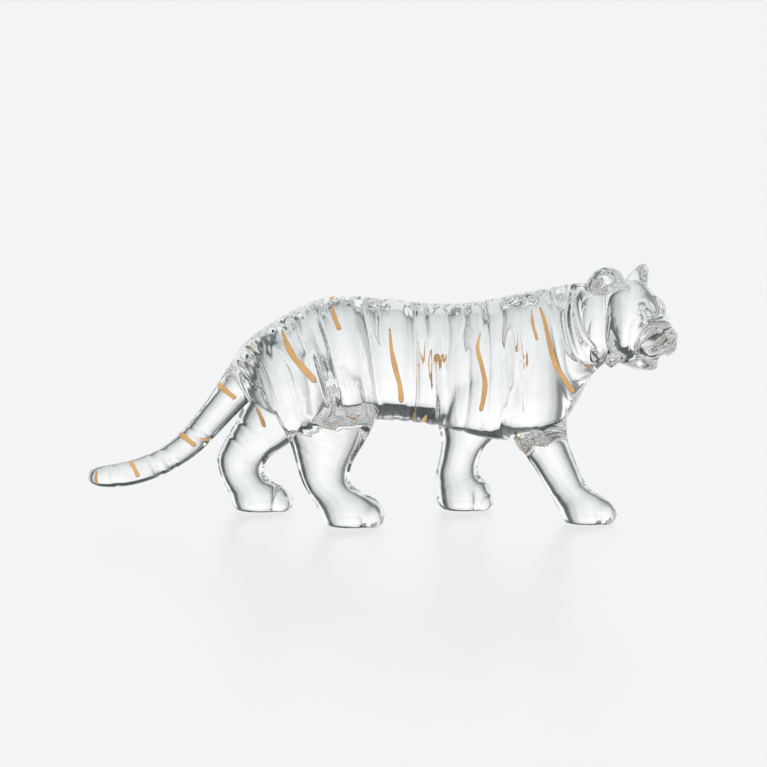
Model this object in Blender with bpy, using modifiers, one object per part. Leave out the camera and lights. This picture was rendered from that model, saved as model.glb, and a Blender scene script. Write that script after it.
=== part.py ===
"""A walking tiger of clear cast glass with gilded stripes.

Lengths are in metres; the tables of sections are in millimetres.  +X is the way the tiger walks,
+Z is up and -Y is its right side.  The glass is one casting: trunk, legs, tail and head are skins
fused into one solid, carved with shallow stripes and ground flat under the paws.  Each gilded
stripe is a thin leaf of gold that follows the glass, a hair's breadth off it.
"""
import math

import bmesh
import bpy
import numpy as np
from mathutils import Euler, Matrix, Vector
from mathutils.bvhtree import BVHTree

MM = 0.001

# Driving sizes of the trunk, seen from the side and from above
TRUNK_LENGTH = 0.198
BACK_HEIGHT = 0.115
BELLY_HEIGHT = 0.050
TRUNK_HALF_WIDTH = 0.025

# Driving sizes of the paws and legs
HIND_PAW_LENGTH = 0.0325
FORE_PAW_LENGTH = 0.0295
PAW_HALF_WIDTH = 0.010
TOE_RADIUS = 0.0027
TOE_HALF_LENGTH = 0.0058
TOE_HALF_HEIGHT = 0.0046
TOE_HEIGHT = 0.0048
TOE_PITCH = 0.00435
TOE_BACK = 0.0050
TOE_STAGGER = 0.0014
SOLE_GRIND = 0.0004

# Driving sizes of the tail
TAIL_LENGTH = 0.0762
TAIL_RADIUS = 0.0065

# Driving sizes of the head, placed from the end of the neck
HEAD_FORWARD = -0.0005
HEAD_ASIDE = -0.0045
HEAD_BELOW_BACK = 0.013
HEAD_TURN = (-5.0, 9.0, -35.0)
EAR_HALF_WIDTH = 0.0107
EAR_HALF_HEIGHT = 0.0110
EAR_THICKNESS = 0.0042
EAR_HOLLOW = 0.0024
EAR_BACK_HOLLOW = 0.0011
EYE_RADIUS = 0.0028

# Carved stripes and gilding
STRIPE_HALF_WIDTH = 0.0022
STRIPE_DEPTH = 0.0013
STRIPE_PITCH = 0.0063
GILT_THICKNESS = 0.0004
GILT_GAP = 0.0004
GILT_STEP = 0.0035

# Fineness of the casting
FUSE_VOXEL = 0.0009
DETAIL_VOXEL = 0.00095
FUSE_SMOOTHING = 14
DETAIL_SMOOTHING = 3
BODY_TRIANGLES = 9400

# Trunk sections: percent of its length, back and belly against their heights (mm), percent of half width
TRUNK = [
    (0, -32, 26, 12), (1, -27, 20, 36), (4, -21, 13, 64), (9.5, -13.5, 5, 86), (16, -6, 0.5, 98),
    (23, -0.7, 0.5, 100), (31, 0.3, 2, 96), (39.5, -1, 1.7, 92), (48.5, -3, 0, 92),
    (56.5, -3.4, -3.5, 96), (64.5, -1.7, -7.5, 102), (71.5, 1.3, -9, 102), (79, 4, -7.5, 94),
    (84, 6, -2, 84), (87.5, 7.3, 8.5, 80), (89.5, 7.5, 16.5, 78), (92, 7, 25.5, 76),
    (95.5, 4.5, 32, 70), (100, -3, 40, 44),
]

# A paw's foot: height (mm), how far the toes and the heel draw in (mm), percent of half width
PAW = [(0, 5.6, 3.6, 75), (2.2, 1.0, 1.2, 93), (5.6, 0, 0, 100)]

# Legs above the paw: height, back and front behind the toes, out from the middle, half width (mm)
NEAR_HIND_LEG = [
    (9.9, -34.4, -1.0, 17, 9.8), (13.5, -36.4, -4.1, 17, 9), (16.1, -38, -9.2, 17, 8.2),
    (21.9, -41.6, -16.8, 17, 7.6), (27.1, -43.5, -17.5, 17, 7.8), (32.8, -45.1, -16, 17, 8.6),
    (43.2, -47.9, -10.2, 17.5, 10.5), (55.2, -54, -4.5, 17, 12.5), (65.6, -60.2, -5, 16, 13.3),
    (76, -64.2, -8, 15.5, 13), (86.5, -63.5, -14.5, 14, 12), (97, -56.5, -23.5, 11, 10),
    (103, -49.5, -31.5, 9, 6),
]
FAR_HIND_LEG = [
    (9, -33.4, -1.4, 14.5, 9.6), (12.6, -34.8, -5.8, 14.5, 8.6), (14.7, -35.8, -10.4, 14.5, 8.2),
    (19.4, -37.8, -14.2, 14.5, 7.6), (22.6, -38.6, -14.7, 14.5, 7.7), (27.2, -39.5, -12.5, 14.7, 8.2),
    (31.7, -38, -6.8, 15, 9), (36.1, -35.7, -0.8, 15.5, 10), (45.5, -30.3, 11.2, 16, 11.5),
    (55, -25.8, 19.2, 16.5, 12.6), (66, -22.8, 22.2, 16.5, 13.3), (78, -20.8, 22.2, 15.5, 13),
    (88, -15.8, 19.2, 14, 12), (97, -8.8, 13.2, 11, 10), (103, -1.8, 7.2, 9, 6),
]
FAR_FORE_LEG = [
    (9, -30.4, -0.2, 16.5, 9.8), (12, -30.8, -1, 16.5, 9.2), (14.5, -30.9, -3.3, 16.5, 8.6),
    (17, -30.7, -6, 16.5, 8), (19.9, -30.1, -7.8, 16.5, 7.8), (25.6, -28.5, -7.5, 16.3, 8),
    (32.9, -27.2, -4.8, 16, 8.8), (38, -27.2, -0.3, 15.8, 9.6), (43.9, -28.8, 5.2, 15.5, 10.5),
    (55, -27.8, 12.2, 15, 11.5), (68, -21.8, 20.2, 14.5, 12), (80, -10.8, 27.2, 13, 11.5),
    (92, -0.8, 29.2, 11, 10), (101, 5.2, 25.2, 9, 6),
]
NEAR_FORE_LEG = [
    (8.4, -30.8, -1, 11, 10), (11, -32, -3.2, 11, 9.4), (13, -33.3, -6.3, 11, 9),
    (15.7, -34.8, -11, 11, 8.4), (18.5, -36.4, -14.5, 11.3, 8), (25.6, -40.5, -18.2, 12, 8.1),
    (31.3, -44.2, -20.6, 12.5, 8.8), (37.6, -48.6, -23.1, 13, 9.7), (43.5, -55, -25.2, 13.5, 10.6),
    (49, -59, -26, 14, 11.3), (60, -62, -26.5, 14.5, 12.3), (72, -61, -27.5, 14.5, 12.5),
    (84, -57, -29, 13, 12), (96, -52, -31, 11, 10), (104, -47, -34, 9, 6),
]

# Each leg: its sections, where its toes stand (percent of the trunk's length), its side, its paw's length
LEGS = {
    "near_hind": (NEAR_HIND_LEG, 38.6, -1, HIND_PAW_LENGTH),
    "far_hind": (FAR_HIND_LEG, 14.5, 1, HIND_PAW_LENGTH),
    "far_fore": (FAR_FORE_LEG, 67.1, 1, FORE_PAW_LENGTH),
    "near_fore": (NEAR_FORE_LEG, 98.5, -1, FORE_PAW_LENGTH),
}

# Tail, from its tip to inside the rump: percent of its length, height (mm), percent of its radius
TAIL = [
    (0, 21.7, 12), (1, 21.6, 46), (4.3, 21.5, 71), (13.4, 21.6, 91), (31.3, 23.7, 100), (52, 30, 103),
    (70, 39.8, 111), (85, 52.7, 122), (99.5, 66.2, 143), (110, 77.2, 163), (122, 86, 185),
    (135.5, 90, 185),
]

# Skull sections, from its back to the nose: along, top, bottom, half width (mm from the head's centre)
SKULL = [
    (-20, 4, -2, 3), (-18.5, 9, -8, 10), (-14.5, 16, -15, 17), (-8, 20.5, -19, 21),
    (0, 22.3, -19.5, 22.5), (7, 20.8, -17.5, 21), (13, 17, -14.5, 17), (18, 12.5, -12, 13.3),
    (22.5, 8, -10.5, 11.5), (26.5, 4.2, -9.5, 9.5), (29.3, 1.6, -7.5, 6), (30.4, -1, -5, 2.5),
]

# Rounded forms on each side of the head: centre, radii, turn (mm, degrees), how much they narrow downwards
PAIRED_FORMS = [
    ((19.2, 5.9, -5.2), (9.4, 6.9, 6.2), (0, 13, 0), 0),            # whisker pad
    ((-6.0, 16.6, -2.6), (9.0, 8.6, 19.2), (6, -19, 0), 0.45),      # ruff behind the cheek
    ((3.2, 11.6, -13.8), (6.4, 4.8, 9.2), (12, -10, 0), 0.6),       # pointed tuft under the cheek
    ((14.2, 8.0, 12.6), (4.8, 5.6, 3.0), (0, 36, 22), 0),           # brow
]
MIDDLE_FORMS = [
    ((28.6, 0, 0.6), (2.6, 5.2, 3.0), (0, -14, 0), 0.45),           # nose, narrow below
    ((20.0, 0, 3.8), (10.5, 4.8, 4.0), (0, 27, 0), 0),              # bridge of the nose
    ((10.5, 0, -15.9), (12.0, 8.4, 4.4), (0, 1, 0), 0),             # lower jaw
    ((18.8, 0, -15.6), (4.8, 5.8, 4.0), (0, 0, 0), 0),              # chin
]
EYE_PLACE = (14.9, 9.9, 9.2)
EYE_FACING = (0.62, 0.66, 0.42)
EYE_ALMOND = (1.5, 0.9)
EYE_SLANT = 0.3
EAR_PLACE = (-5.4, 16.6, 19.3)
EAR_TURN = (0, 12, 50)

# Gilded stripes on the trunk: percent of its length, degrees from the spine (near side positive), and
# the half width (mm)
TRUNK_GILT = {
    "haunch_gilt": ([(12.5, 35), (14, 58), (16, 74), (18.5, 86), (21.3, 98)], 1.55),
    "hip_gilt": ([(25.4, 23), (25.6, 34), (26.2, 44), (27.3, 55)], 1.15),
    "hip_crest_gilt": ([(25.0, 8), (25.3, -6), (25.8, -22)], 1.5),
    "flank_gilt": ([(39.9, 52), (40.4, 73), (41.4, 90), (42.5, 106), (42.9, 124)], 1.25),
    "middle_gilt": ([(62.8, 51), (62.1, 64), (63.2, 80), (64, 93), (63.7, 106), (63, 119)], 1.25),
    "shoulder_gilt": ([(78, 35), (79.1, 50), (80.4, 70), (82, 87), (84.3, 103), (87.2, 128)], 1.35),
    "shoulder_fork_gilt": ([(75.8, 35), (76.1, 50), (77.2, 64)], 0.75),
    "belly_gilt": ([(49.3, 137), (48.7, 149), (47.8, 166)], 1.1),
    "crest_gilt": ([(39.9, -8), (40.9, -27), (42, -45), (41.2, -68)], 1.6),
    "back_gilt": ([(51.8, -6), (52.6, -28), (52.9, -50), (52.8, -66)], 1.1),
    "withers_gilt": ([(75, -4), (75.4, -20), (75.9, -38)], 1.1),
    "nape_gilt": ([(84.9, -4), (84.4, -22), (83.8, -40)], 0.9),
    "far_flank_gilt": ([(49.1, -83), (48.3, -101), (47, -127)], 0.85),
    "far_chevron_gilt": ([(51.4, -99), (52.2, -91), (53.4, -89), (54.8, -98)], 0.9),
    "far_shoulder_gilt": ([(71.9, -74), (73.2, -82), (74.6, -86), (75.9, -98)], 0.85),
    "far_neck_gilt": ([(85.1, -82), (87.1, -101), (89.2, -122)], 0.75),
    "far_rump_gilt": ([(4.5, -40), (7.2, -50), (8.8, -68), (11.8, -92)], 1.4),
}
# On the tail: percent of its length from the tip, degrees from its top; half width (mm)
TAIL_GILT = {
    "tail_tip_gilt": ([(7, 40), (6.4, 85), (7, 130)], 0.75),
    "tail_low_gilt": ([(31, -35), (31.8, 18), (33.8, 64), (34.5, 107)], 1.1),
    "tail_middle_gilt": ([(68.5, -35), (69.2, 8), (70.8, 56), (71.6, 110)], 1.3),
    "tail_under_gilt": ([(75.6, 98), (76.6, 124), (77.2, 148)], 0.85),
    "tail_root_gilt": ([(97.8, -35), (98.6, 15), (99, 62), (99, 104)], 1.3),
}
# On a leg's outer side: height (mm), percent of the way from its back to its front; half width (mm)
LEG_GILT = {
    "far_thigh_gilt": ("far_hind", [(54, 24), (49, 32), (43, 44)], 0.85),
}

# Carved stripes on the trunk run between these percents of its length and lean forward by these percents
STRIPES_FROM, STRIPES_TO = 5, 89
STRIPE_LEAN = ((5, 20, 32, 42, 70, 80, 90), (9, 9, 6, 1, 0, 3, 6))
SPINE_NOTCHES = (7, 90, 2.9)
BELLY_NOTCHES = (41.5, 60, 3.4)
NECK_FOLDS = [
    [(86.5, 30), (87.2, 60), (88.6, 90), (91, 116)],
    [(89.8, 34), (90.4, 62), (91.6, 88), (93.6, 110)],
]
LEG_STRIPES = {
    "near_hind": [
        [(62, 22), (55, 42), (50, 66)],
        [(52, 14), (46, 36), (41, 62)],
        [(43, 10), (37, 34), (33, 60)],
    ],
    "far_hind": [
        [(66, 16), (60, 30), (55, 50)],
        [(48, 8), (43, 22), (38, 46)],
        [(40, 6), (35, 24), (31, 50)],
    ],
    "far_fore": [
        [(56, 20), (53, 45), (53, 72)],
        [(47, 12), (44, 38), (43, 66)],
    ],
    "near_fore": [
        [(60, 18), (54, 40), (50, 64)],
        [(50, 14), (44, 38), (41, 64)],
    ],
}
TAIL_RINGS = (19, 46, 55, 76.5, 107)
# Lines carved on each side of the head (mm from the head's centre)
HEAD_LINES = [
    [(-1.5, 17.5, 12), (1.0, 19.5, 3), (1.2, 18.5, -6), (0.5, 15, -14)],
    [(-5.5, 20, 9), (-6.5, 23, 0), (-5.5, 22.5, -9), (-3, 19, -17)],
    [(-10.5, 20, 9), (-12, 23, 0), (-10.5, 22.5, -10), (-7, 19, -17)],
    [(27.8, 3.6, 3.4), (23.5, 7.5, 5.8), (19, 10.5, 5.0), (16.5, 12.2, 0.5), (14, 13.2, -5), (11, 13, -10)],
]
MOUTH_LINE = [
    (12, -10.8, -12.3), (19, -8, -12), (24.5, -4, -11.6), (26.5, 0, -11.4), (24.5, 4, -11.6), (19, 8, -12),
    (12, 10.8, -12.3),
]
LIP_LINE = [(30.5, 0, -1.5), (30, 0, -4.5), (28, 0, -8), (26, 0, -10.5)]
PROBE_REACH = 0.012


def through(stations, count):
    """Rows read evenly from a smooth cubic curve through the stations' rows."""
    rows = np.asarray(stations, float)
    step = np.linalg.norm(np.diff(rows, axis=0), axis=1)
    knots = np.concatenate([[0.0], np.cumsum(np.sqrt(step))])
    slopes = np.gradient(rows, knots, axis=0)
    at = np.linspace(0.0, knots[-1], count)
    low = np.clip(np.searchsorted(knots, at, side="right") - 1, 0, len(knots) - 2)
    span = (knots[low + 1] - knots[low])[:, None]
    t = (at - knots[low])[:, None] / span
    return (
        (2 * t**3 - 3 * t**2 + 1) * rows[low]
        + (t**3 - 2 * t**2 + t) * span * slopes[low]
        + (3 * t**2 - 2 * t**3) * rows[low + 1]
        + (t**3 - t**2) * span * slopes[low + 1]
    )


def trunk_x(percent):
    """Where a share of the trunk's length lies along X."""
    return TRUNK_LENGTH * np.asarray(percent, float) / 100


def trunk_sections():
    """The trunk's sections in metres: x, top, bottom, half width."""
    share, back, belly, width = np.asarray(TRUNK, float).T
    return np.stack([
        trunk_x(share), BACK_HEIGHT + back * MM, BELLY_HEIGHT + belly * MM, TRUNK_HALF_WIDTH * width / 100,
    ], axis=1)


def leg_sections(rows, toes_percent, side, paw_length):
    """A leg's sections in metres, from its sole up: height, back, front, y, half width."""
    toes = trunk_x(toes_percent)
    out = rows[0][3] * MM
    foot = [
        (h * MM, toes - paw_length + heel * MM, toes - toe * MM, side * out, PAW_HALF_WIDTH * width / 100)
        for h, toe, heel, width in PAW
    ]
    leg = [
        (h * MM, toes + back * MM, toes + front * MM, side * y * MM, width * MM)
        for h, back, front, y, width in rows
    ]
    return np.array(foot + leg)


def tail_sections():
    """The tail's stations in metres, from its tip: x, y, z, radius."""
    share, height, radius = np.asarray(TAIL, float).T
    x = TAIL_LENGTH * (share / 100 - 1)
    return np.stack([x, 0 * x, height * MM, TAIL_RADIUS * radius / 100], axis=1)


def head_matrix():
    """The head's place and turn, from the end of the neck."""
    place = Vector((TRUNK_LENGTH + HEAD_FORWARD, HEAD_ASIDE, BACK_HEIGHT - HEAD_BELOW_BACK))
    return placing(place, HEAD_TURN)


def ring_sections(centre, across, upward, half_across, half_up, power, around=40):
    """Superellipse rings: centre + a cos^(2/p) across + b sin^(2/p) upward, one ring for each section."""
    angle = np.linspace(0, 2 * np.pi, around, endpoint=False)
    c = np.sign(np.cos(angle)) * np.abs(np.cos(angle)) ** (2 / power)
    s = np.sign(np.sin(angle)) * np.abs(np.sin(angle)) ** (2 / power)
    return (
        centre[:, None, :]
        + (half_across[:, None] * c)[..., None] * np.asarray(across)
        + (half_up[:, None] * s)[..., None] * np.asarray(upward)
    )


def add_loft(bm, rings, matrix=Matrix()):
    """A skin over unlike rings, each end drawn in to a pole."""
    def vert(place):
        return bm.verts.new(matrix @ Vector(place))

    grid = [[vert(place) for place in ring] for ring in rings]
    around = len(grid[0])
    for ring, following in zip(grid, grid[1:]):
        for i in range(around):
            j = (i + 1) % around
            bm.faces.new((ring[i], ring[j], following[j], following[i]))
    for end, turn in ((0, -1), (-1, 1)):
        ring, pole = grid[end], vert(rings[end].mean(axis=0))
        for i in range(around):
            j = (i + 1) % around
            bm.faces.new((ring[i], ring[j], pole)[::turn])


def placing(centre, turn):
    """The matrix that turns a thing, by degrees about X, then Y, then Z, and sets it at its centre."""
    return Matrix.Translation(Vector(centre)) @ Euler([math.radians(a) for a in turn]).to_matrix().to_4x4()


def add_ball(bm, centre, radii, turn, taper=0, matrix=Matrix()):
    """A UV sphere, stretched to the radii, narrowed downwards, turned and set at its centre."""
    verts = bmesh.ops.create_uvsphere(bm, u_segments=32, v_segments=24, radius=1)["verts"]
    place = matrix @ placing(centre, turn)
    for v in verts:
        x, y, z = v.co
        narrow = 1 + taper * z
        v.co = place @ Vector((x * radii[0] * narrow, y * radii[1] * narrow, z * radii[2]))
    return verts


def add_trunk(bm):
    """The trunk, from the rump to inside the head."""
    x, top, bottom, half = through(trunk_sections(), 80).T
    centre = np.stack([x, 0 * x, (top + bottom) / 2], axis=1)
    add_loft(bm, ring_sections(centre, (0, 1, 0), (0, 0, 1), half, (top - bottom) / 2, 2.15))


def add_leg(bm, rows, toes_percent, side, paw_length):
    """One leg, from its sole to inside the trunk."""
    z, back, front, y, half = through(leg_sections(rows, toes_percent, side, paw_length), 70).T
    centre = np.stack([(back + front) / 2, y, z], axis=1)
    add_loft(bm, ring_sections(centre, (1, 0, 0), (0, 1, 0), (front - back) / 2, half, 2.3))


def add_toes(bm, rows, toes_percent, side, paw_length):
    """Four toes side by side, the outer two set back."""
    for slot in (-1.5, -0.5, 0.5, 1.5):
        back = TOE_BACK + TOE_STAGGER * (abs(slot) - 0.5)
        centre = (trunk_x(toes_percent) - back, side * rows[0][3] * MM + slot * TOE_PITCH, TOE_HEIGHT)
        add_ball(bm, centre, (TOE_HALF_LENGTH, TOE_RADIUS, TOE_HALF_HEIGHT), (0, 12, 0))


def tail_mesh():
    """The tail as a bevelled curve with a radius at each point, made a mesh."""
    rows = through(tail_sections(), 60)
    curve = bpy.data.curves.new("tail", "CURVE")
    curve.dimensions = "3D"
    curve.bevel_depth = 1.0
    curve.bevel_resolution = 5
    curve.use_fill_caps = True
    spline = curve.splines.new("POLY")
    spline.points.add(len(rows) - 1)
    spline.points.foreach_set("co", np.hstack([rows[:, :3], np.ones((len(rows), 1))]).ravel())
    spline.points.foreach_set("radius", rows[:, 3])
    obj = bpy.data.objects.new("tail", curve)
    bpy.context.scene.collection.objects.link(obj)
    mesh = bpy.data.meshes.new_from_object(obj.evaluated_get(bpy.context.evaluated_depsgraph_get()))
    bpy.data.objects.remove(obj)
    bpy.data.curves.remove(curve)
    return mesh


def add_tail(bm):
    """The tail's mesh, with its caps welded."""
    mesh = tail_mesh()
    bm.from_mesh(mesh)
    bmesh.ops.remove_doubles(bm, verts=bm.verts[:], dist=1e-6)
    bpy.data.meshes.remove(mesh)


def add_ear(bm, side, head):
    """An ear: a ball flattened to a disc, hollowed in front and thinned towards its tip."""
    verts = add_ball(bm, (0, 0, 0), (1, 1, 1), (0, 0, 0))
    place = head @ Matrix.Diagonal((1, side, 1, 1)) @ placing(Vector(EAR_PLACE) * MM, EAR_TURN)
    for v in verts:
        x, y, z = v.co
        hollow = EAR_HOLLOW if x > 0 else EAR_BACK_HOLLOW
        v.co = place @ Vector((
            x * EAR_THICKNESS * (1 - 0.5 * z) - hollow * (1 - y * y - z * z),
            y * EAR_HALF_WIDTH * (1 - 0.12 * z),
            z * EAR_HALF_HEIGHT,
        ))
    if side < 0:
        bmesh.ops.reverse_faces(bm, faces=list({f for v in verts for f in v.link_faces}))


def add_head(bm):
    """The skull, its rounded forms, the eyes and the ears."""
    head = head_matrix()
    scale = Matrix.Diagonal((MM, MM, MM, 1))
    x, top, bottom, half = through(SKULL, 50).T
    centre = np.stack([x, 0 * x, (top + bottom) / 2], axis=1)
    add_loft(bm, ring_sections(centre, (0, 1, 0), (0, 0, 1), half, (top - bottom) / 2, 2.15), head @ scale)
    for centre, radii, turn, taper in MIDDLE_FORMS:
        add_ball(bm, centre, radii, turn, taper, head @ scale)
    for side in (-1, 1):
        for (cx, cy, cz), radii, (roll, pitch, yaw), taper in PAIRED_FORMS:
            add_ball(bm, (cx, side * cy, cz), radii, (side * roll, pitch, side * yaw), taper, head @ scale)
        eye = Vector((EYE_PLACE[0], side * EYE_PLACE[1], EYE_PLACE[2])) * MM
        add_ball(bm, eye, (EYE_RADIUS,) * 3, (0, 0, 0), matrix=head)
        add_ear(bm, side, head)


def fused(bm, name, voxel, smoothing):
    """The bodies in bm made one even skin of voxel-sized faces, then smoothed."""
    mesh = bpy.data.meshes.new(name)
    bm.to_mesh(mesh)
    bm.free()
    obj = bpy.data.objects.new(name, mesh)
    bpy.context.scene.collection.objects.link(obj)
    fuse = obj.modifiers.new("fuse", "REMESH")
    fuse.mode = "VOXEL"
    fuse.voxel_size = voxel
    soften = obj.modifiers.new("soften", "SMOOTH")
    soften.factor = 0.5
    soften.iterations = smoothing
    out = bpy.data.meshes.new_from_object(obj.evaluated_get(bpy.context.evaluated_depsgraph_get()))
    bpy.data.objects.remove(obj)
    bpy.data.meshes.remove(mesh)
    return out


def cast_form():
    """The whole tiger as one fine skin, before its stripes are carved."""
    bm = bmesh.new()
    add_tail(bm)
    add_trunk(bm)
    for leg in LEGS.values():
        add_leg(bm, *leg)
    limbs = fused(bm, "limbs", FUSE_VOXEL, FUSE_SMOOTHING)
    bm = bmesh.new()
    for leg in LEGS.values():
        add_toes(bm, *leg)
    add_head(bm)
    bm.from_mesh(limbs)
    bpy.data.meshes.remove(limbs)
    return fused(bm, "form", DETAIL_VOXEL, DETAIL_SMOOTHING)


class Skin:
    """A mesh's surface, asked where a stroke drawn on the animal lies."""

    def __init__(self, mesh):
        self.tree = BVHTree.FromPolygons([v.co for v in mesh.vertices], [p.vertices for p in mesh.polygons])

    def under(self, start, way):
        """The first place that a ray meets from outside, or None, and the surface's normal there."""
        place, normal, _, _ = self.tree.ray_cast(Vector(start), Vector(way), PROBE_REACH * 2)
        if place is None or normal.dot(Vector(way)) > -0.1:
            return None
        return np.array(place), np.array(normal)

    def nearest(self, start):
        """The nearest place on the surface and its normal."""
        place, normal, _, _ = self.tree.find_nearest(Vector(start))
        return np.array(place), np.array(normal)


def trunk_spot(skin, share, degrees):
    """Down the trunk's side: percent of its length, degrees from the spine, the near side positive."""
    rows = through(trunk_sections(), 160)
    top, bottom, half = (np.interp(trunk_x(share), rows[:, 0], rows[:, k]) for k in (1, 2, 3))
    turn = math.radians(degrees)
    radial = np.array([0.0, -half * math.sin(turn), (top - bottom) / 2 * math.cos(turn)])
    outward = radial / np.linalg.norm(radial)
    start = np.array([trunk_x(share), 0.0, (top + bottom) / 2]) + radial + outward * PROBE_REACH
    return skin.under(start, -outward)


def leg_spot(skin, leg, height, across):
    """On a leg's outer side: height in mm, percent of the way from its back to its front."""
    rows, toes_percent, side, paw_length = LEGS[leg]
    sections = through(leg_sections(rows, toes_percent, side, paw_length), 160)
    back, front, y, half = (np.interp(height * MM, sections[:, 0], sections[:, k]) for k in (1, 2, 3, 4))
    start = (back + (front - back) * across / 100, y + side * (half + PROBE_REACH), height * MM)
    return skin.under(start, (0, -side, 0))


def on_leg(leg):
    """The function that finds a spot on this leg."""
    return lambda skin, height, across: leg_spot(skin, leg, height, across)


def tail_spot(skin, share, degrees):
    """Round the tail: percent of its length from the tip, degrees from its top, the near side positive."""
    rows = through(tail_sections(), 160)
    at = TAIL_LENGTH * (share / 100 - 1)
    height, radius = (np.interp(at, rows[:, 0], rows[:, k]) for k in (2, 3))
    slope = (np.interp(at + MM, rows[:, 0], rows[:, 2]) - height) / MM
    upward = np.array([-slope, 0, 1]) / math.hypot(slope, 1)
    turn = math.radians(degrees)
    outward = upward * math.cos(turn) + np.array([0, -math.sin(turn), 0])
    start = np.array([at, 0, height]) + outward * (radius + PROBE_REACH)
    return skin.under(start, -outward)


def head_spot(skin, x, y, z):
    """On the head: the nearest place to a point in mm from the head's centre."""
    return skin.nearest(head_matrix() @ (Vector((x, y, z)) * MM))


def laid(skin, spot, points, count):
    """A stroke drawn smoothly through its points and laid on the skin: places and normals."""
    found = [spot(skin, *row) for row in through(points, count)]
    found = [pair for pair in found if pair is not None]
    return np.array([place for place, _ in found]), np.array([normal for _, normal in found])


def carve(mesh, strokes):
    """Sink the vertices near each stroke: round-bottomed, deepest along its middle, tapering to its ends."""
    count = len(mesh.vertices)
    co, normals = np.zeros(count * 3), np.zeros(count * 3)
    mesh.vertices.foreach_get("co", co)
    mesh.vertices.foreach_get("normal", normals)
    co, normals, sink = co.reshape(-1, 3), normals.reshape(-1, 3), np.zeros(count)
    for places, half_width, depth in strokes:
        near = (co > places.min(0) - half_width) & (co < places.max(0) + half_width)
        close = np.flatnonzero(near.all(axis=1))
        if not len(close):
            continue
        away = np.linalg.norm(co[close][:, None] - places[None], axis=2)
        at = away.argmin(axis=1)
        taper = 1 - 0.85 * np.abs(np.linspace(-1, 1, len(places))) ** 3
        share = np.minimum(away[np.arange(len(close)), at] / (half_width * (0.4 + 0.6 * taper[at])), 1)
        sink[close] = np.maximum(sink[close], depth * taper[at] * (1 + np.cos(np.pi * share)) / 2)
    mesh.vertices.foreach_set("co", (co - normals * sink[:, None]).ravel())
    mesh.update()


def plain_trunk_stripes(side, seed):
    """Long wavy stripes down one side, every other one short, leaning forward on haunch and shoulder."""
    pick = np.random.default_rng(seed)
    count = int(TRUNK_LENGTH * (STRIPES_TO - STRIPES_FROM) / 100 / STRIPE_PITCH)
    stripes = []
    for number in range(count):
        share = STRIPES_FROM + (STRIPES_TO - STRIPES_FROM) * (number + pick.uniform(0.25, 0.75)) / count
        lean, wave = np.interp(share, *STRIPE_LEAN), pick.uniform(-0.6, 0.6, 2)
        head, foot = pick.uniform(16, 34), pick.uniform(112, 142)
        if number % 3 == 1:
            head, foot = pick.uniform(14, 30), pick.uniform(52, 80)
        elif number % 3 == 2:
            head, foot = pick.uniform(44, 70), pick.uniform(112, 142)
        angles = np.linspace(head, foot, 4)
        bend = np.array([0, wave[0], wave[1], 0])
        points = [(share + lean * (a - 80) / 100 + b, side * a) for a, b in zip(angles, bend)]
        if all(clear_of_gilt(*point) for point in points):
            stripes.append(points)
    return stripes


def clear_of_gilt(share, degrees):
    """Whether a place on the trunk keeps off every gilded stripe's line."""
    for points, half_width in TRUNK_GILT.values():
        shares, turns = np.array(through(points, 12)).T
        gap = np.hypot(trunk_x(shares - share), np.radians(turns - degrees) * TRUNK_HALF_WIDTH)
        if gap.min() < half_width * MM + STRIPE_HALF_WIDTH:
            return False
    return True


def plain_strokes(skin):
    """Every carved stroke: its places, half width and depth."""
    strokes = []

    def draw(spot, points, width=1.0, depth=1.0, count=60):
        places, _ = laid(skin, spot, points, count)
        if len(places) > 3:
            strokes.append((places, STRIPE_HALF_WIDTH * width, STRIPE_DEPTH * depth))

    for side, seed in ((1, 5), (-1, 12)):
        for points in plain_trunk_stripes(side, seed):
            draw(trunk_spot, points)
    for share in np.arange(*SPINE_NOTCHES):
        if clear_of_gilt(share, 0):
            draw(trunk_spot, [(share, -16), (share + 0.6, 0), (share, 16)], 0.6, 0.7, 20)
    for share in np.arange(*BELLY_NOTCHES):
        draw(trunk_spot, [(share, 152), (share + 0.5, 180), (share, 208)], 0.7, 0.9, 24)
    for points in NECK_FOLDS:
        for side in (-1, 1):
            draw(trunk_spot, [(share, side * turn) for share, turn in points], 1.1, 1.3)
    for leg, stripes in LEG_STRIPES.items():
        for points in stripes:
            draw(on_leg(leg), points, 0.9, 0.6, 40)
    for share in TAIL_RINGS:
        draw(tail_spot, [(share + 2.5 * math.sin(t * math.pi / 4), 45 * t) for t in range(9)], 0.6, 0.7, 60)
    for points in HEAD_LINES:
        for side in (-1, 1):
            draw(head_spot, [(x, side * y, z) for x, y, z in points], 0.75, 1.0, 40)
    for side in (-1, 1):
        draw(head_spot, eye_rim(side), 0.6, 0.7, 40)
    draw(head_spot, MOUTH_LINE, 0.7, 1.5, 60)
    draw(head_spot, LIP_LINE, 0.65, 0.9, 20)
    return strokes


def eye_rim(side):
    """An almond on the head round the eye, its inner corner lower."""
    facing = Vector(EYE_FACING).normalized()
    along = facing.cross(Vector((0, 0, 1))).normalized()
    upward = along.cross(facing)
    centre, radius = Vector(EYE_PLACE), EYE_RADIUS / MM
    ring = []
    for t in range(13):
        turn = t * math.pi / 6
        far = EYE_ALMOND[0] * math.cos(turn)
        high = EYE_ALMOND[1] * math.sin(turn) - EYE_SLANT * math.cos(turn)
        place = centre + facing * radius / 2 + (along * far + upward * high) * radius
        ring.append((place.x, side * place.y, place.z))
    return ring


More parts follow.
